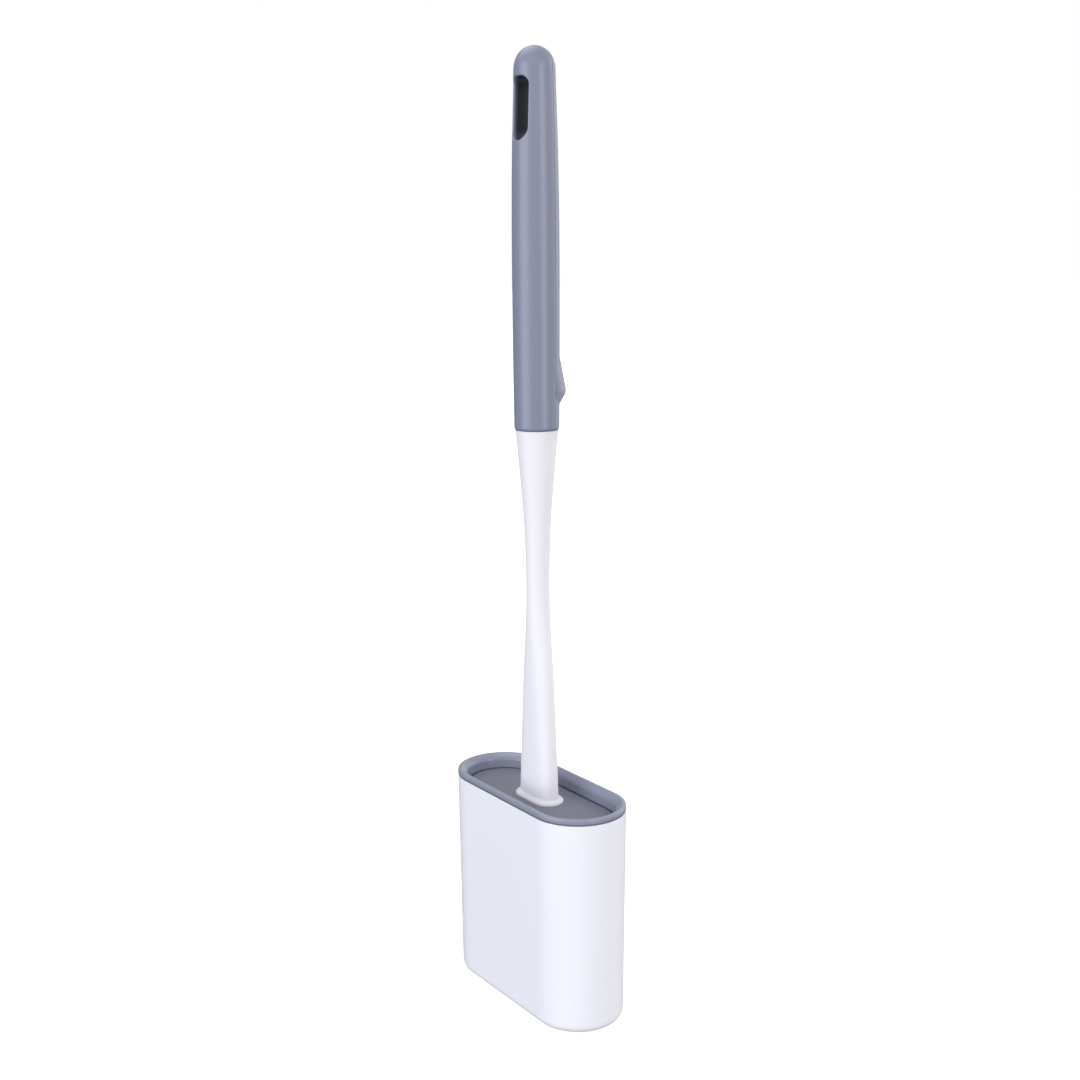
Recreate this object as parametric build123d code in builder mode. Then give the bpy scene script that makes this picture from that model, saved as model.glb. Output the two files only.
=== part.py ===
"""Flat toilet brush standing in its oval holder.

Frame: origin at the centre of the base on the floor, +X along the holder's long axis,
-Y towards the front face, +Z up.  All sizes are in millimetres.
"""

import os
from math import atan2, degrees

from build123d import *

os.makedirs("parts", exist_ok=True)

# ---- Driving dimensions: holder -------------------------------------------------
holder_length = 100.0      # overall, along X, at the rim
holder_width = 42.4        # overall, along Y, at the rim
rim_height = 98.4          # floor to the top of the liner's lip
foot_standoff = 0.4        # the rubber feet hold the shell off the floor by this
shell_draft = 1.06         # the outline is smaller by this, each side, at the base
shell_wall = 2.0
shell_floor = 2.2
shell_base_round = 4.0
rim_land = 0.7             # the thin rim that stands round the liner's seat
seat_depth = 1.0           # from the top of that rim down to the seat

# ---- Driving dimensions: liner --------------------------------------------------
lip_thickness = 1.9
lip_outer_round = 0.8
lip_land = 1.8             # the flat part of the lip's top, from the outline in
lip_width = 4.5            # from the outline in to the wall of the recess
lip_fall = 1.6             # the lip slopes down by this to the wall of the recess
lip_crest_round = 0.8      # between the flat part and the slope
lip_inner_round = 2.5      # between the slope and the wall of the recess
shadow_gap = 0.9           # between the lip and the top of the shell
shadow_depth = 1.3
liner_clearance = 0.5      # to the inside of the shell, each side
liner_wall = 1.8
liner_floor = 2.0
liner_bottom = 8.0         # floor to the underside of the liner: the drip space
drain_slot_count = 7
drain_slot_width = 3.0
drain_slot_length = 17.0

# ---- Driving dimensions: splash plate and collar ---------------------------------
plate_length = 88.5
plate_width = 31.35
plate_thickness = 2.4
plate_top = 92.2           # floor to the top of the plate
plate_gap = 0.9            # between the plate and the wall of the recess, each side
recess_undercut = 0.9      # the recess is wider by this, each side, beside the plate's edge
ledge_width = 1.6          # what the plate rests on
skirt_depth = 5.0
skirt_wall = 1.4
collar_length = 27.1
collar_width = 13.9
collar_height = 1.9
collar_side = 0.8          # the upright part of its edge
collar_slope = 1.2         # above that its top slopes in by this, each side
collar_round = 0.3

# ---- Driving dimensions: rod and head --------------------------------------------
rod_foot_half_length = 11.6
rod_foot_half_width = 5.12
rod_waist_radius = 5.12
rod_top_radius = 9.27
rod_waist_height = 187.4   # floor to the thinnest place
tongue_length = 14.0       # the rod's flat tongue, held in the head
tongue_width = 5.0
tongue_depth = 20.0        # below the foot
tang_radius = 7.35         # the rod's upper end, held inside the grip
tang_length = 44.0
tang_bore = 5.2
running_fit = 0.1          # each side, between a plug and its socket
head_length = 79.0         # over the bristles, along X
head_width = 24.6          # over the bristles, along Y
head_bottom = 16.0         # floor to the bristles' lowest tips
head_top = 82.0
core_length = 62.0
core_thickness = 3.6
core_bottom = 28.0
boss_length = 24.0
boss_width = 11.0

# ---- Driving dimensions: grip ----------------------------------------------------
grip_bottom = 257.2
grip_top = 414.6
grip_bottom_radius = 9.6
grip_full_radius = 10.0
grip_full_height = 328.0   # floor to the thickest place
dome_radius = 8.65
dome_height = 9.4
dome_crown_radius = 8.3    # the dome's curve at its top; it is a little flatter at its sides
grip_wall = 1.9
grip_edge_round = 1.4
parting_place = 3.7        # the half shells meet on the plane Y = this
seam_half_width = 0.12     # the fine groove where the two half shells meet
seam_depth = 0.25
slot_half_width = 5.1
slot_bottom = 376.6
slot_top = 402.1
slot_top_round = 3.5
slot_edge_round = 0.6      # where the slot's wall meets the outside
slot_sleeve = 1.4          # the wall round the slot, across the hollow grip
peg_radius = 1.5
peg_length = 3.5
peg_heights = (322.0, 360.0)
rest_top = 292.2           # the finger rest's ends, inside the grip's wall
rest_bottom = 267.3
rest_end_radius = 9.2
rest_crest_height = 273.2
rest_crest_place = 1.9     # how far its widest outline is set back from the grip's axis
rest_crest_depth = 11.9    # from there to the crest
rest_crest_round = 3.5

# ---- Worked-out places -------------------------------------------------------------
lip_bottom = rim_height - lip_thickness
shell_top = lip_bottom - shadow_gap
seat_height = shell_top - seat_depth
plate_bottom = plate_top - plate_thickness
collar_top = plate_top + collar_height
recess_length = plate_length + 2 * plate_gap
recess_width = plate_width + 2 * plate_gap
mouth_length = plate_length - 2 * ledge_width
mouth_width = plate_width - 2 * ledge_width
shoulder_bottom = plate_bottom - liner_floor
dome_start = grip_top - dome_height
dome_rise = dome_height - dome_crown_radius
dome_side_radius = (dome_radius**2 + dome_rise**2 - dome_crown_radius**2) / (
    2 * (dome_radius - dome_crown_radius)
)
dome_join_angle = degrees(atan2(dome_rise, dome_side_radius - dome_radius))
parting = Plane.XZ.offset(-parting_place)
boss_reach = grip_full_radius - grip_wall + 0.5    # from the axis into the grip's wall


def slab(length, width, bottom, top, draft=0.0):
    """A solid with a round-ended outline, smaller by the draft on each side at its bottom."""
    with BuildPart() as solid:
        with BuildSketch(Plane.XY.offset(bottom)):
            SlotOverall(length - 2 * draft, width - 2 * draft)
        with BuildSketch(Plane.XY.offset(top)):
            SlotOverall(length, width)
        loft(ruled=True)
    return solid.part


def rod_section(height, half_length, half_width, fullness):
    """One closed outline of the rod: an ellipse at fullness 0, flat-sided with round ends at 1."""
    ellipse_handle = 0.5523
    end_handle = half_width * (ellipse_handle + 0.1 * fullness)
    side_handle = half_length * (ellipse_handle + 0.3 * fullness)
    with BuildSketch(Plane.XY.offset(height)) as section:
        with BuildLine():
            Bezier(
                (half_length, 0),
                (half_length, end_handle),
                (side_handle, half_width),
                (0, half_width),
            )
            mirror(about=Plane.YZ)
            mirror(about=Plane.XZ)
        make_face()
    return section.sketch


def grip_form(inset=0.0):
    """The grip's turned form, or its hollow when inset by the wall."""
    with BuildPart() as form:
        with BuildSketch(Plane.XZ):
            with BuildLine():
                widest = (grip_full_radius - inset, grip_full_height)
                foot = (grip_bottom_radius - inset, grip_bottom)
                TangentArc(widest, foot, tangent=(0, -1))
                TangentArc(widest, (dome_radius - inset, dome_start), tangent=(0, 1))
                CenterArc(
                    (dome_radius - dome_side_radius, dome_start),
                    dome_side_radius - inset,
                    0,
                    dome_join_angle,
                )
                CenterArc(
                    (0, grip_top - dome_crown_radius),
                    dome_crown_radius - inset,
                    dome_join_angle,
                    90 - dome_join_angle,
                )
                Polyline((0, grip_top - inset), (0, grip_bottom), foot)
            make_face()
        revolve(axis=Axis.Z)
    return form.part


def hang_slot(margin=0.0):
    """The hanging slot right through the grip: square-shouldered above, round below."""
    half_width = slot_half_width + margin
    top_round = slot_top_round + margin
    low = slot_bottom + slot_half_width
    high = slot_top - slot_top_round
    shoulder = slot_half_width - slot_top_round
    with BuildPart() as slot:
        with BuildSketch(Plane.XZ):
            with BuildLine():
                CenterArc((0, low), half_width, 180, 180)
                Line((half_width, low), (half_width, high))
                CenterArc((shoulder, high), top_round, 0, 90)
                Line((shoulder, high + top_round), (-shoulder, high + top_round))
                CenterArc((-shoulder, high), top_round, 90, 90)
                Line((-half_width, high), (-half_width, low))
            make_face()
        extrude(amount=2 * grip_full_radius, both=True)
    return slot.part


def seam_groove():
    """The fine groove that follows the parting line round the outside of the grip."""
    with BuildPart() as groove:
        with BuildSketch(parting):
            with Locations((0, (grip_bottom + grip_top) / 2)):
                Rectangle(3 * grip_full_radius, grip_top - grip_bottom + grip_full_radius)
        extrude(amount=seam_half_width, both=True)
        add(grip_form(inset=seam_depth), mode=Mode.SUBTRACT)
    return groove.part


def grip_shell():
    """Both halves of the grip as one: hollow, open below, with the hanging slot in its sleeve."""
    with BuildPart() as hollow:
        add(grip_form(inset=grip_wall))
        add(hang_slot(margin=slot_sleeve), mode=Mode.SUBTRACT)
    with BuildPart() as shell:
        add(grip_form())
        bottom_rim = shell.edges().filter_by(GeomType.CIRCLE).sort_by(Axis.Z)[0]
        fillet(bottom_rim, radius=grip_edge_round)
        add(hang_slot(), mode=Mode.SUBTRACT)
        mouth = shell.edges(Select.LAST).filter_by(Axis.Y, reverse=True)
        fillet(mouth, radius=slot_edge_round)
        add(hollow.part, mode=Mode.SUBTRACT)
        add(seam_groove(), mode=Mode.SUBTRACT)
    return shell.part


def finger_rest():
    """The swelling low on the grip's back: a long ramp above its crest, a short one below."""
    with BuildPart() as rest:
        with BuildSketch(Plane.XY.offset(rest_bottom)):
            Circle(rest_end_radius)
        with BuildSketch(Plane.XY.offset(rest_crest_height)):
            with Locations((0, rest_crest_place)):
                Ellipse(rest_end_radius, rest_crest_depth)
        with BuildSketch(Plane.XY.offset(rest_top)):
            Circle(rest_end_radius)
        loft(ruled=True)
        split(bisect_by=Plane.XZ.offset(-parting_place - seam_half_width), keep=Keep.BOTTOM)
        crest = rest.edges().filter_by_position(
            Axis.Z, rest_crest_height - 0.1, rest_crest_height + 0.1
        )
        fillet(crest, radius=rest_crest_round)
        add(grip_form(inset=grip_wall / 2), mode=Mode.SUBTRACT)
    return rest.part


def write(builder, name):
    """Label one finished piece and write it to its own file."""
    builder.part.label = name
    export_step(builder.part, f"parts/{name}.step")


# ---- Outer shell: a drafted cup with a closed floor ------------------------------
with BuildPart() as outer_shell:
    add(slab(holder_length, holder_width, foot_standoff, shell_top, shell_draft))
    fillet(outer_shell.faces().sort_by(Axis.Z)[0].edges(), radius=shell_base_round)
    add(
        slab(
            holder_length - 2 * shell_wall,
            holder_width - 2 * shell_wall,
            foot_standoff + shell_floor,
            shell_top,
            shell_draft,
        ),
        mode=Mode.SUBTRACT,
    )
    add(
        slab(
            holder_length - 2 * rim_land,
            holder_width - 2 * rim_land,
            seat_height,
            shell_top,
        ),
        mode=Mode.SUBTRACT,
    )
    fillet(outer_shell.faces().sort_by(Axis.Z)[-1].edges(), radius=0.2)
    foot_places = [(x, y) for x in (-30.0, 30.0) for y in (-8.5, 8.5)]
    foot_radius = 4.5
    foot_recess = 1.0
    with BuildSketch(Plane.XY.offset(foot_standoff)):
        with Locations(*foot_places):
            Circle(foot_radius + running_fit)
    extrude(amount=foot_recess, mode=Mode.SUBTRACT)
write(outer_shell, "outer_shell")

# ---- Feet: four rubber discs in the shell's recesses -----------------------------
for number, place in enumerate(foot_places, start=1):
    with BuildPart() as foot_pad:
        with BuildSketch(Plane.XY):
            with Locations(place):
                Circle(foot_radius)
        extrude(amount=foot_standoff + foot_recess)
        fillet(foot_pad.edges().sort_by(Axis.Z)[0], radius=0.3)
    write(foot_pad, f"foot_pad_{number}")

# ---- Liner: the lip, the plate's recess and ledge, and the drained cup -----------
with BuildPart() as liner:
    plug_length = holder_length - 2 * (shell_wall + liner_clearance)
    plug_width = holder_width - 2 * (shell_wall + liner_clearance)
    add(slab(holder_length, holder_width, lip_bottom, rim_height))
    fillet(liner.faces().sort_by(Axis.Z)[-1].edges(), radius=lip_outer_round)
    add(
        slab(
            holder_length - 2 * shadow_depth,
            holder_width - 2 * shadow_depth,
            seat_height,
            lip_bottom,
        )
    )
    add(slab(plug_length, plug_width, shoulder_bottom, seat_height))
    cup_length = mouth_length + 2 * liner_wall
    cup_width = mouth_width + 2 * liner_wall
    with BuildPart(mode=Mode.PRIVATE) as cup:
        add(slab(cup_length, cup_width, liner_bottom, shoulder_bottom, shell_draft))
        fillet(cup.faces().sort_by(Axis.Z)[0].edges(), radius=3.0)
    add(cup.part)
    wall_top = rim_height - lip_fall
    throat_length = holder_length - 2 * lip_width
    throat_width = holder_width - 2 * lip_width
    throat_draft = (throat_length - recess_length) / 2
    add(slab(throat_length, throat_width, plate_top, wall_top, throat_draft), mode=Mode.SUBTRACT)
    add(
        slab(
            holder_length - 2 * lip_land,
            holder_width - 2 * lip_land,
            wall_top,
            rim_height,
            lip_width - lip_land,
        ),
        mode=Mode.SUBTRACT,
    )
    lip_edges = liner.edges().filter_by_position(Axis.Z, wall_top, rim_height)
    fillet(lip_edges.group_by(Axis.Z)[0], radius=lip_inner_round)
    fillet(liner.faces().sort_by(Axis.Z)[-1].inner_wires()[0].edges(), radius=lip_crest_round)
    add(
        slab(
            recess_length + 2 * recess_undercut,
            recess_width + 2 * recess_undercut,
            plate_bottom,
            plate_top,
        ),
        mode=Mode.SUBTRACT,
    )
    add(
        slab(mouth_length, mouth_width, liner_bottom + liner_floor, plate_bottom, shell_draft),
        mode=Mode.SUBTRACT,
    )
    with BuildSketch(Plane.XY.offset(liner_bottom)):
        with GridLocations(10.0, 0, drain_slot_count, 1):
            SlotOverall(drain_slot_length, drain_slot_width, rotation=90)
    extrude(amount=liner_floor, mode=Mode.SUBTRACT)
write(liner, "liner")

# ---- Splash plate: the brush's lid, with a locating skirt beneath -----------------
with BuildPart() as splash_plate:
    add(slab(plate_length, plate_width, plate_bottom, plate_top))
    fillet(splash_plate.faces().sort_by(Axis.Z)[-1].edges(), radius=0.5)
    skirt_length = mouth_length - 1.9
    skirt_width = mouth_width - 1.9
    add(slab(skirt_length, skirt_width, plate_bottom - skirt_depth, plate_bottom))
    add(
        slab(
            skirt_length - 2 * skirt_wall,
            skirt_width - 2 * skirt_wall,
            plate_bottom - skirt_depth,
            plate_bottom,
        ),
        mode=Mode.SUBTRACT,
    )
    with BuildSketch(Plane.XY.offset(plate_bottom)):
        RectangleRounded(
            tongue_length + 2 * running_fit, tongue_width + 2 * running_fit, 1.0 + running_fit
        )
    extrude(amount=plate_thickness, mode=Mode.SUBTRACT)
write(splash_plate, "splash_plate")

# ---- Collar: the white flange between the plate and the rod -----------------------
with BuildPart() as collar:
    add(slab(collar_length, collar_width, plate_top, plate_top + collar_side))
    add(
        slab(
            collar_length - 2 * collar_slope,
            collar_width - 2 * collar_slope,
            plate_top + collar_side,
            collar_top,
            -collar_slope,
        )
    )
    collar_edges = collar.edges().filter_by_position(
        Axis.Z, plate_top + collar_side, collar_top
    )
    fillet(collar_edges.group_by(Axis.Z)[-1], radius=collar_round)
    fillet(collar_edges.group_by(Axis.Z)[0], radius=collar_round)
    with BuildSketch(Plane.XY.offset(plate_top)):
        RectangleRounded(
            tongue_length + 2 * running_fit, tongue_width + 2 * running_fit, 1.0 + running_fit
        )
    extrude(amount=collar_height, mode=Mode.SUBTRACT)
write(collar, "collar")

# ---- Rod: flat foot, round waist and flared top, with a tongue and a tang ---------
# Each station: height above the collar, half length, half width, fullness.
rod_length = grip_bottom - collar_top
waist = rod_waist_height - collar_top
rod_stations = [
    (0.0, rod_foot_half_length, rod_foot_half_width, 1.0),
    (7.5, 11.15, rod_foot_half_width, 0.9),
    (24.0, 10.45, rod_foot_half_width, 0.7),
    (42.0, 9.4, rod_foot_half_width, 0.5),
    (60.0, 8.0, rod_foot_half_width, 0.3),
    (72.0, 6.65, rod_foot_half_width, 0.15),
    (82.0, 5.7, rod_foot_half_width, 0.03),
    (waist, rod_waist_radius, rod_waist_radius, 0.0),
    (waist + 18.0, 5.37, 5.37, 0.0),
    (waist + 31.0, 5.92, 5.92, 0.0),
    (waist + 43.0, 6.8, 6.8, 0.0),
    (waist + 57.0, 7.97, 7.97, 0.0),
    (rod_length, rod_top_radius, rod_top_radius, 0.0),
]
with BuildPart() as rod:
    loft([rod_section(collar_top + height, *sizes) for height, *sizes in rod_stations])
    with BuildSketch(Plane.XY.offset(collar_top - tongue_depth)):
        RectangleRounded(tongue_length, tongue_width, 1.0)
    extrude(amount=tongue_depth)
    with BuildSketch(Plane.XY.offset(grip_bottom)):
        Circle(tang_radius)
    extrude(amount=tang_length)
    chamfer(rod.faces().sort_by(Axis.Z)[-1].edges(), length=0.8)
    with BuildSketch(Plane.XY.offset(grip_bottom + 4.0)):
        Circle(tang_bore)
    extrude(amount=tang_length, mode=Mode.SUBTRACT)
write(rod, "rod")

# ---- Head core: the stiff paddle, with the boss that holds the rod's tongue -------
with BuildPart() as head_core:
    with BuildSketch(Plane.XZ):
        with Locations((0, (core_bottom + head_top) / 2)):
            RectangleRounded(core_length, head_top - core_bottom, 9.0)
    extrude(amount=core_thickness / 2, both=True)
    with BuildSketch(Plane.XZ):
        with Locations((0, (core_bottom + head_top) / 2 - 6.0)):
            with GridLocations(13.0, 14.0, 4, 2):
                Circle(3.0)
    extrude(amount=core_thickness, both=True, mode=Mode.SUBTRACT)
    add(slab(boss_length, boss_width, collar_top - tongue_depth - 2.0, plate_bottom))
    with BuildSketch(Plane.XY.offset(collar_top - tongue_depth - running_fit)):
        RectangleRounded(
            tongue_length + 2 * running_fit, tongue_width + 2 * running_fit, 1.0 + running_fit
        )
    extrude(amount=tongue_depth, mode=Mode.SUBTRACT)
write(head_core, "head_core")

# ---- Bristle pad: the soft pad round the core, out to the bristles' tips ----------
with BuildPart() as bristle_pad:
    add(slab(head_length, head_width, head_bottom, head_top))
    fillet(bristle_pad.faces().sort_by(Axis.Z)[0].edges(), radius=6.0)
    fillet(bristle_pad.faces().sort_by(Axis.Z)[-1].edges(), radius=3.0)
    add(head_core.part, mode=Mode.SUBTRACT)
    with BuildSketch(Plane.XY.offset(collar_top - tongue_depth - 2.0)):
        SlotOverall(boss_length, boss_width)
    extrude(amount=tongue_depth, mode=Mode.SUBTRACT)
write(bristle_pad, "bristle_pad")

# ---- Grip front: the larger shell, which faces -Y, with the locating pegs ---------
with BuildPart() as grip_front:
    add(grip_shell())
    split(bisect_by=parting, keep=Keep.TOP)
    for height in peg_heights:
        with BuildSketch(parting):
            with Locations((0, height)):
                Circle(2 * peg_radius)
        extrude(amount=parting_place + boss_reach)
        with BuildSketch(parting):
            with Locations((0, height)):
                Circle(peg_radius)
        extrude(amount=-peg_length)
write(grip_front, "grip_front")

# ---- Grip back: the shallower shell, with the pegs' sockets and the finger rest ----
with BuildPart() as grip_back:
    add(grip_shell())
    split(bisect_by=parting, keep=Keep.BOTTOM)
    for height in peg_heights:
        with BuildSketch(parting):
            with Locations((0, height)):
                Circle(2 * peg_radius)
        extrude(amount=-(boss_reach - parting_place))
        with BuildSketch(parting):
            with Locations((0, height)):
                Circle(peg_radius + running_fit)
        extrude(amount=-(peg_length + 0.3), mode=Mode.SUBTRACT)
    add(finger_rest())
write(grip_back, "grip_back")
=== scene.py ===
"""Looks for the toilet brush in its oval holder: materials, the soft bristle head, stage, lights, camera."""

import math
import random

import bmesh
import bpy
from mathutils import Matrix, Vector


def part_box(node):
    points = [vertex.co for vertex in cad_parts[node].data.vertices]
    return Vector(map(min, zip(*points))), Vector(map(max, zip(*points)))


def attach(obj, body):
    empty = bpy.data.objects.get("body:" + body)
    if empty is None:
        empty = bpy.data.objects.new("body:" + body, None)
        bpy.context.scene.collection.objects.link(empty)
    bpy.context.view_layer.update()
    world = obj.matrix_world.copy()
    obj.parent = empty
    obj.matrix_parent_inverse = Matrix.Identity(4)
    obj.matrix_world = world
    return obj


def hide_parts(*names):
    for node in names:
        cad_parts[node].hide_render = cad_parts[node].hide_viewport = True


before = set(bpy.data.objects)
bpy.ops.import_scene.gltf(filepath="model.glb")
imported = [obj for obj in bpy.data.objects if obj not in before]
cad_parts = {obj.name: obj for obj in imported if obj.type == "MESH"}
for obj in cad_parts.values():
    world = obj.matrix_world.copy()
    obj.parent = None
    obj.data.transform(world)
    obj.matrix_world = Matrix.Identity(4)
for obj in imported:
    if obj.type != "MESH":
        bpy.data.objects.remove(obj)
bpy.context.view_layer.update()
MM = 0.001

# ---- Camera: a 50 mm lens, level with the brush's upper half, looking a little down -----
CAMERA_PLACE = Vector((0.525667, -0.360376, 0.330338))
CAMERA_HEADING = math.radians(145.475)
CAMERA_TILT = math.radians(10.757)
CAMERA_ROLL = math.radians(0.37)
CAMERA_LENS = 49.93
CAMERA_AZIMUTH = math.degrees(math.atan2(CAMERA_PLACE.x, -CAMERA_PLACE.y))

# ---- Colours, linear ----------------------------------------------------------------------
SHELL_WHITE = (0.824, 0.826, 0.902)
ROD_WHITE = (0.795, 0.785, 0.848)
LINER_GREY = (0.250, 0.265, 0.355)
PLATE_GREY = (0.170, 0.175, 0.238)
GRIP_GREY = (0.215, 0.230, 0.322)
BRISTLE_GREY = (0.215, 0.222, 0.285)
FOOT_GREY = (0.10, 0.10, 0.11)
COOL_LIGHT = (0.915, 0.96, 1.0)
WARM_LIGHT = (1.0, 0.98, 0.94)

# ---- Plastic's finish ------------------------------------------------------------------------
PLASTIC_IOR = 1.47
DRIFT_SCALE = 22.0        # of the slow colour drift
PATCH_SCALE = 35.0        # of the patches of gloss
GLOSS_SPREAD = 0.008      # how far the roughness strays either way
GRAIN_DEPTH = 0.05 * MM

# ---- Grip: heights measured down from its top, reaches out from its axis ------------------
GRIP_DOME_DROP = 9.4 * MM
GRIP_WIDEST_DROP = 86.6 * MM
GRIP_TAPER = 1.35 * MM    # how much further out the skin is at the widest height than at the dome
# The bright and dark reaches and the share below set where shade is painted into the grip's colour inside.
GRIP_BRIGHT_REACH = 9.0 * MM
GRIP_DARK_REACH = 7.9 * MM
GRIP_PAINTED_SHADE_SHARE = 0.20    # of the colour, left inside

# ---- Bristle head ----------------------------------------------------------------------------
SLAB_COLUMNS = 21
SLAB_ROWS = 18
SLAB_BARE_ROWS = 2        # without bristles, at the top
SLAB_HALF_THICKNESS = 4.3 * MM
SLAB_EDGE_SHARE = 0.62    # the edge's thickness, as a share of the slab's
SLAB_CORNER = 9.0 * MM
SLAB_SIDE_MARGIN = 6.5 * MM
SLAB_FOOT_MARGIN = 8.0 * MM
EDGE_BRISTLE_LENGTH = 5.6 * MM
TIP_CLEARANCE = 0.5 * MM  # between a face bristle's tip and the pad's envelope
TIP_SCATTER = 0.12 * MM
SCATTER_SEED = 7
# Along the bristle as a share of its length, and its width there as a share of its cell's.
BRISTLE_STATIONS = [(0.06, 0.82), (0.16, 0.66), (0.55, 0.57), (0.93, 0.47), (1.0, 0.30)]
BRISTLE_SUBDIVISIONS = 2

# ---- Stage and room ----------------------------------------------------------------------------
FLOOR_REACH = 12.0
FLOOR_WHITE = 0.92
FLOOR_GLOW = 0.62
ROOM_GAP_TURN = -135      # from the camera's azimuth to the middle of the room's dark gap
ROOM_GAP_OUTER = 58       # from the gap's middle to where it starts, in degrees
ROOM_GAP_INNER = 25       # and to where it is darkest
ROOM_GAP_LEVEL = 0.2
# Height in the room, 0 straight down and 1 straight up, and its brightness there.
ROOM_LEVELS = [(0.40, 0.35), (0.55, 0.98), (0.75, 1.02), (0.92, 0.62)]
LIGHT_AIM = Vector((0, 0, 0.16))


# ---- Shader nodes ------------------------------------------------------------------------------
def noise(tree, place, scale, detail):
    """Noise in the object's own coordinates."""
    node = tree.nodes.new("ShaderNodeTexNoise")
    node.inputs["Scale"].default_value = scale
    node.inputs["Detail"].default_value = detail
    tree.links.new(place.outputs["Object"], node.inputs["Vector"])
    return node.outputs["Fac"]


def remap(tree, source, from_range, to_range, smooth=False):
    """A value carried from one range to another, and clamped to it."""
    node = tree.nodes.new("ShaderNodeMapRange")
    node.interpolation_type = "SMOOTHSTEP" if smooth else "LINEAR"
    sockets = ("From Min", "From Max", "To Min", "To Max")
    for socket, value in zip(sockets, (*from_range, *to_range)):
        node.inputs[socket].default_value = value
    tree.links.new(source, node.inputs["Value"])
    return node.outputs["Result"]


def calculate(tree, operation, first, second):
    """A sum or product of two values."""
    node = tree.nodes.new("ShaderNodeMath")
    node.operation = operation
    tree.links.new(first, node.inputs[0])
    tree.links.new(second, node.inputs[1])
    return node.outputs["Value"]


# ---- Materials ------------------------------------------------------------------------------
def plastic(name, colour, roughness, grain=0.05, grain_size=0.5, mottle=0.012):
    """Moulded plastic: slow colour drift, uneven gloss and a fine moulded grain.

    grain is the bump's strength, grain_size its scale in millimetres.
    """
    material = bpy.data.materials.new(name)
    material.use_nodes = True
    tree = material.node_tree
    shader = tree.nodes["Principled BSDF"]
    shader.inputs["IOR"].default_value = PLASTIC_IOR
    place = tree.nodes.new("ShaderNodeTexCoord")

    tint = tree.nodes.new("ShaderNodeMix")
    tint.data_type = "RGBA"
    tint.inputs["A"].default_value = (*[c * (1 - mottle) for c in colour], 1)
    tint.inputs["B"].default_value = (*[min(1, c * (1 + mottle)) for c in colour], 1)
    tree.links.new(noise(tree, place, DRIFT_SCALE, 1.0), tint.inputs["Factor"])
    tree.links.new(tint.outputs["Result"], shader.inputs["Base Color"])

    patches = noise(tree, place, PATCH_SCALE, 1.0)
    gloss_range = (roughness - GLOSS_SPREAD, roughness + GLOSS_SPREAD)
    tree.links.new(remap(tree, patches, (0.2, 0.8), gloss_range), shader.inputs["Roughness"])

    bump = tree.nodes.new("ShaderNodeBump")
    bump.inputs["Strength"].default_value = grain
    bump.inputs["Distance"].default_value = GRAIN_DEPTH
    pores = noise(tree, place, 1 / (grain_size * MM), 2.0)
    tree.links.new(pores, bump.inputs["Height"])
    tree.links.new(bump.outputs["Normal"], shader.inputs["Normal"])
    return material


def rubber(name, colour, roughness=0.62):
    """Soft moulded rubber: a plastic with a broad sheen and a dustier grain."""
    material = plastic(name, colour, roughness, grain=0.3, grain_size=0.6, mottle=0.05)
    shader = material.node_tree.nodes["Principled BSDF"]
    shader.inputs["Sheen Weight"].default_value = 0.15
    shader.inputs["Sheen Roughness"].default_value = 0.5
    shader.inputs["Subsurface Weight"].default_value = 0.05
    shader.inputs["Subsurface Scale"].default_value = 1.5 * MM
    return material


def paint_grip_inside_shade(material, widest, dome_start):
    """Paint shade into the colour of the grip's inside, where no light gets in.

    The colour falls from full at the bright reach to the dark share of it at the dark one. The
    reach is taken from the Z axis, and in the dome from the axis's point at dome_start. Between
    the widest height and dome_start it grows by the grip's taper, to stay the same on its outside.
    """
    tree = material.node_tree
    shader = tree.nodes["Principled BSDF"]
    outside = shader.inputs["Base Color"].links[0].from_socket
    place = tree.nodes.new("ShaderNodeTexCoord")
    split = tree.nodes.new("ShaderNodeSeparateXYZ")
    tree.links.new(place.outputs["Object"], split.inputs["Vector"])
    height = split.outputs["Z"]

    arm = tree.nodes.new("ShaderNodeCombineXYZ")
    tree.links.new(split.outputs["X"], arm.inputs["X"])
    tree.links.new(split.outputs["Y"], arm.inputs["Y"])
    over_dome = remap(tree, height, (dome_start, dome_start + 1), (0, 1))
    tree.links.new(over_dome, arm.inputs["Z"])
    reach = tree.nodes.new("ShaderNodeVectorMath")
    reach.operation = "LENGTH"
    tree.links.new(arm.outputs["Vector"], reach.inputs[0])

    root = remap(tree, height, (widest, dome_start), (0, math.sqrt(GRIP_TAPER)))
    taper = calculate(tree, "MULTIPLY", root, root)
    even_reach = calculate(tree, "ADD", reach.outputs["Value"], taper)
    share = remap(tree, even_reach, (GRIP_DARK_REACH, GRIP_BRIGHT_REACH), (GRIP_PAINTED_SHADE_SHARE, 1))
    shade = tree.nodes.new("ShaderNodeVectorMath")
    shade.operation = "SCALE"
    tree.links.new(outside, shade.inputs[0])
    tree.links.new(share, shade.inputs["Scale"])
    tree.links.new(shade.outputs["Vector"], shader.inputs["Base Color"])


def dress(node, material):
    """Give a CAD node its material."""
    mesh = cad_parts[node].data
    mesh.materials.clear()
    mesh.materials.append(material)


shell_plastic = plastic("shell_white_plastic", SHELL_WHITE, 0.34)
rod_plastic = plastic("rod_white_plastic", ROD_WHITE, 0.48, grain=0.03)
liner_plastic = plastic("liner_grey_plastic", LINER_GREY, 0.25)
plate_plastic = plastic("plate_grey_plastic", PLATE_GREY, 0.46, grain=0.12)
grip_plastic = plastic("grip_grey_plastic", GRIP_GREY, 0.29, grain=0.03)
grip_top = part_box("grip_front")[1].z
# Painted shade: the grip's colour is darkened inside, where the hollow and the slot lie in shade.
paint_grip_inside_shade(grip_plastic, widest=grip_top - GRIP_WIDEST_DROP, dome_start=grip_top - GRIP_DOME_DROP)
bristle_rubber = rubber("bristle_rubber", BRISTLE_GREY)
foot_rubber = rubber("foot_rubber", FOOT_GREY, 0.7)

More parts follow.
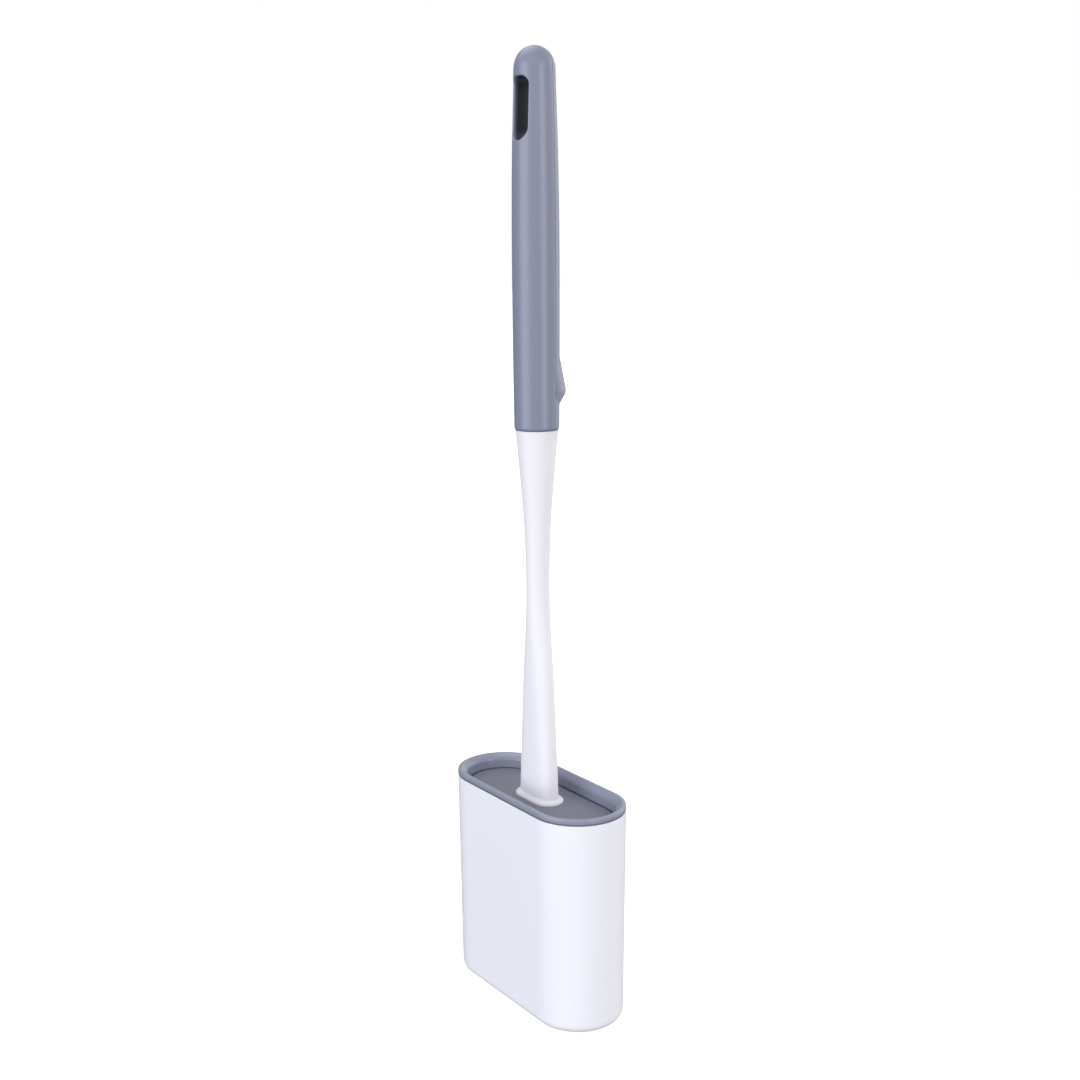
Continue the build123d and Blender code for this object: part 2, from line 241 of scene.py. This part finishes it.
dress("outer_shell", shell_plastic)
dress("liner", liner_plastic)
dress("splash_plate", plate_plastic)
for white_node in ("collar", "rod", "head_core"):
    dress(white_node, rod_plastic)
for grip_node in ("grip_front", "grip_back"):
    dress(grip_node, grip_plastic)
for number in range(1, 5):
    dress(f"foot_pad_{number}", foot_rubber)


# ---- Bristle head: a soft slab with a bristle on every other cell of every other row ------
def slab_place(column, row, half_x, slab_low, slab_high):
    """A cell corner's X and Z on the slab's face, with the slab's corners rounded off."""
    u = 2 * column / SLAB_COLUMNS - 1
    v = 2 * row / SLAB_ROWS - 1
    half_z = (slab_high - slab_low) / 2
    x, z = u * half_x, v * half_z
    inner_x, inner_z = half_x - SLAB_CORNER, half_z - SLAB_CORNER
    over_x, over_z = abs(x) - inner_x, abs(z) - inner_z
    if over_x > 0 and over_z > 0:
        largest = max(over_x, over_z)
        shrink = largest / math.hypot(over_x, over_z)
        x = math.copysign(inner_x + over_x * shrink, x)
        z = math.copysign(inner_z + over_z * shrink, z)
    return x, z + (slab_high + slab_low) / 2


def slab_faces(mesh, grid):
    """The slab's two broad faces. Returns the cells that carry a bristle, with their directions."""
    studs = []
    for side in (-1, 1):
        for row in range(SLAB_ROWS):
            for column in range(SLAB_COLUMNS):
                ring = [
                    grid[side, column, row],
                    grid[side, column + 1, row],
                    grid[side, column + 1, row + 1],
                    grid[side, column, row + 1],
                ]
                face = mesh.faces.new(ring if side < 0 else ring[::-1])
                stagger = 1 if row % 4 == 3 else 0
                inside = 1 <= row < SLAB_ROWS - SLAB_BARE_ROWS and 1 <= column < SLAB_COLUMNS - 1
                if inside and row % 2 == 1 and (column + stagger) % 2 == 1:
                    studs.append((face, Vector((0, side, 0))))
    return studs


def slab_border(mesh, grid):
    """The slab's edge, all round. Returns its cells that carry a bristle, with no direction."""
    border = [(column, 0) for column in range(SLAB_COLUMNS)]
    border += [(SLAB_COLUMNS, row) for row in range(SLAB_ROWS)]
    border += [(column, SLAB_ROWS) for column in range(SLAB_COLUMNS, 0, -1)]
    border += [(0, row) for row in range(SLAB_ROWS, 0, -1)]
    highest = SLAB_ROWS - SLAB_BARE_ROWS
    studs = []
    for index, start in enumerate(border):
        stop = border[(index + 1) % len(border)]
        face = mesh.faces.new([grid[-1, *start], grid[1, *start], grid[1, *stop], grid[-1, *stop]])
        if index % 2 == 1 and start[1] < highest and stop[1] < highest:
            studs.append((face, None))
    return studs


def grow_bristle(mesh, face, centre, direction, length, tip_shift):
    """Draw one bristle out of a face: a flared root, a slim taper and a round tip."""
    flat = [v.co.copy() for v in face.verts]
    current = face
    for along, width in BRISTLE_STATIONS:
        out = bmesh.ops.extrude_discrete_faces(mesh, faces=[current])
        current = out["faces"][0]
        for vertex, root in zip(current.verts, flat):
            spread = (root - centre) - direction * (root - centre).dot(direction)
            vertex.co = centre + direction * length * along + spread * width + tip_shift * along


def grow_bristles(mesh, studs, reach_x, reach_y):
    """Grow every bristle, the face ones out to the pad's round-ended envelope."""
    shaper = random.Random(SCATTER_SEED)
    for face, direction in studs:
        centre = face.calc_center_median()
        if direction is None:
            direction = Vector((face.normal.x, 0, face.normal.z)).normalized()
            length = EDGE_BRISTLE_LENGTH
        else:
            beyond = max(0.0, abs(centre.x) - (reach_x - reach_y))
            envelope = math.sqrt(reach_y**2 - beyond**2)
            length = envelope - abs(centre.y) - TIP_CLEARANCE
        lean = Vector((shaper.uniform(-1, 1), shaper.uniform(-1, 1), shaper.uniform(-1, 1)))
        grow_bristle(mesh, face, centre, direction, length, lean * TIP_SCATTER)


def bristle_head():
    """The soft pad round the core, with rows of bristles on its faces and round its edge."""
    low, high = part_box("bristle_pad")
    half_x = high.x - SLAB_SIDE_MARGIN
    slab_low = low.z + SLAB_FOOT_MARGIN
    mesh = bmesh.new()
    grid = {}
    for side in (-1, 1):
        for row in range(SLAB_ROWS + 1):
            for column in range(SLAB_COLUMNS + 1):
                x, z = slab_place(column, row, half_x, slab_low, high.z)
                edge = column in (0, SLAB_COLUMNS) or row in (0, SLAB_ROWS)
                depth = SLAB_HALF_THICKNESS * (SLAB_EDGE_SHARE if edge else 1.0)
                grid[side, column, row] = mesh.verts.new((x, side * depth, z))
    studs = slab_faces(mesh, grid) + slab_border(mesh, grid)
    mesh.normal_update()
    grow_bristles(mesh, studs, high.x, high.y)

    data = bpy.data.meshes.new("bristle_head")
    mesh.normal_update()
    mesh.to_mesh(data)
    mesh.free()
    head = bpy.data.objects.new("bristle_head", data)
    bpy.context.scene.collection.objects.link(head)
    smoother = head.modifiers.new("Smooth", "SUBSURF")
    smoother.levels = BRISTLE_SUBDIVISIONS
    smoother.render_levels = BRISTLE_SUBDIVISIONS
    for polygon in data.polygons:
        polygon.use_smooth = True
    data.materials.append(bristle_rubber)
    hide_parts("bristle_pad")
    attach(head, "brush")


bristle_head()


# ---- Stage, light and camera ---------------------------------------------------------------
def stage_floor():
    """A plain pale floor."""
    data = bpy.data.meshes.new("floor")
    signs = [(-1, -1), (1, -1), (1, 1), (-1, 1)]
    corners = [(x * FLOOR_REACH, y * FLOOR_REACH, 0) for x, y in signs]
    data.from_pydata(corners, [], [(0, 1, 2, 3)])
    floor = bpy.data.objects.new("floor", data)
    bpy.context.scene.collection.objects.link(floor)
    material = bpy.data.materials.new("pale_floor")
    material.use_nodes = True
    shader = material.node_tree.nodes["Principled BSDF"]
    shader.inputs["Base Color"].default_value = (FLOOR_WHITE, FLOOR_WHITE, FLOOR_WHITE, 1)
    shader.inputs["Emission Color"].default_value = (1, 1, 1, 1)
    shader.inputs["Emission Strength"].default_value = FLOOR_GLOW
    shader.inputs["Roughness"].default_value = 0.9
    shader.inputs["Specular IOR Level"].default_value = 0.0
    data.materials.append(material)
    floor.visible_diffuse = False
    floor.visible_glossy = False
    floor.visible_shadow = False


def softbox(name, turn, elevation, distance, size, power, tint):
    """An area light aimed at the object, turned round it from the camera's side, in degrees."""
    data = bpy.data.lights.new(name, "AREA")
    data.color = tint
    data.shape = "RECTANGLE"
    data.size, data.size_y = size
    data.energy = power
    light = bpy.data.objects.new(name, data)
    light.visible_camera = False
    bpy.context.scene.collection.objects.link(light)
    a, e = math.radians(CAMERA_AZIMUTH + turn), math.radians(elevation)
    away = Vector((math.sin(a) * math.cos(e), -math.cos(a) * math.cos(e), math.sin(e)))
    light.location = LIGHT_AIM + away * distance
    light.rotation_euler = away.to_track_quat("Z", "Y").to_euler()


def room_gap(tree, place):
    """The room's brightness round about: white, but for a dark gap to one side."""
    towards_gap = tree.nodes.new("ShaderNodeVectorMath")
    towards_gap.operation = "DOT_PRODUCT"
    a = math.radians(CAMERA_AZIMUTH + ROOM_GAP_TURN)
    towards_gap.inputs[1].default_value = (math.sin(a), -math.cos(a), 0)
    tree.links.new(place.outputs["Generated"], towards_gap.inputs[0])
    limits = (math.cos(math.radians(ROOM_GAP_OUTER)), math.cos(math.radians(ROOM_GAP_INNER)))
    return remap(tree, towards_gap.outputs["Value"], limits, (1.0, ROOM_GAP_LEVEL), smooth=True)


def room_height(tree, place):
    """The room's brightness from its floor to its ceiling."""
    split = tree.nodes.new("ShaderNodeSeparateXYZ")
    tree.links.new(place.outputs["Generated"], split.inputs["Vector"])
    level = tree.nodes.new("ShaderNodeValToRGB")
    ramp = level.color_ramp.elements
    ramp[0].position = ROOM_LEVELS[0][0]
    ramp[1].position = ROOM_LEVELS[1][0]
    for height, _ in ROOM_LEVELS[2:]:
        ramp.new(height)
    for element, (_, grey) in zip(ramp, ROOM_LEVELS):
        element.color = (grey, grey, grey, 1)
    tree.links.new(remap(tree, split.outputs["Z"], (-1, 1), (0, 1)), level.inputs["Fac"])
    return level.outputs["Color"]


def studio_world():
    """A white room with a dark gap in it, for reflections, and plain white to the camera."""
    world = bpy.data.worlds.new("studio")
    bpy.context.scene.world = world
    world.use_nodes = True
    tree = world.node_tree
    background = tree.nodes["Background"]
    background.inputs["Color"].default_value = (1, 1, 1, 1)
    place = tree.nodes.new("ShaderNodeTexCoord")
    light = calculate(tree, "MULTIPLY", room_gap(tree, place), room_height(tree, place))
    ray = tree.nodes.new("ShaderNodeLightPath")
    seen = tree.nodes.new("ShaderNodeMix")
    seen.inputs["B"].default_value = 1.0
    tree.links.new(ray.outputs["Is Camera Ray"], seen.inputs["Factor"])
    tree.links.new(light, seen.inputs["A"])
    tree.links.new(seen.outputs["Result"], background.inputs["Strength"])


def camera():
    """The camera, from its place, heading, downward tilt and roll."""
    heading, tilt, roll = CAMERA_HEADING, CAMERA_TILT, CAMERA_ROLL
    ahead = Vector(
        (math.cos(heading) * math.cos(tilt), math.sin(heading) * math.cos(tilt), -math.sin(tilt))
    )
    level_right = Vector((math.sin(heading), -math.cos(heading), 0))
    level_down = ahead.cross(level_right)
    right = level_right * math.cos(roll) + level_down * math.sin(roll)
    down = level_down * math.cos(roll) - level_right * math.sin(roll)
    data = bpy.data.cameras.new("camera")
    data.lens = CAMERA_LENS
    data.sensor_width = 36.0
    data.clip_start = 0.01
    eye = bpy.data.objects.new("camera", data)
    bpy.context.scene.collection.objects.link(eye)
    turn = Matrix((right, -down, -ahead)).transposed()
    eye.matrix_world = Matrix.Translation(CAMERA_PLACE) @ turn.to_4x4()
    bpy.context.scene.camera = eye


stage_floor()
studio_world()
softbox("left_softbox", -57, elevation=8, distance=1.5, size=(1.15, 1.3), power=13.1, tint=COOL_LIGHT)
softbox("right_softbox", 40, elevation=8, distance=1.5, size=(0.64, 1.2), power=7.4, tint=WARM_LIGHT)
softbox("rim_softbox", 118, elevation=12, distance=1.5, size=(0.9, 1.3), power=4.3, tint=WARM_LIGHT)
softbox("top_softbox", -140, elevation=68, distance=0.8, size=(0.5, 0.5), power=1.2, tint=WARM_LIGHT)
bpy.context.scene.view_settings.view_transform = "Standard"
camera()
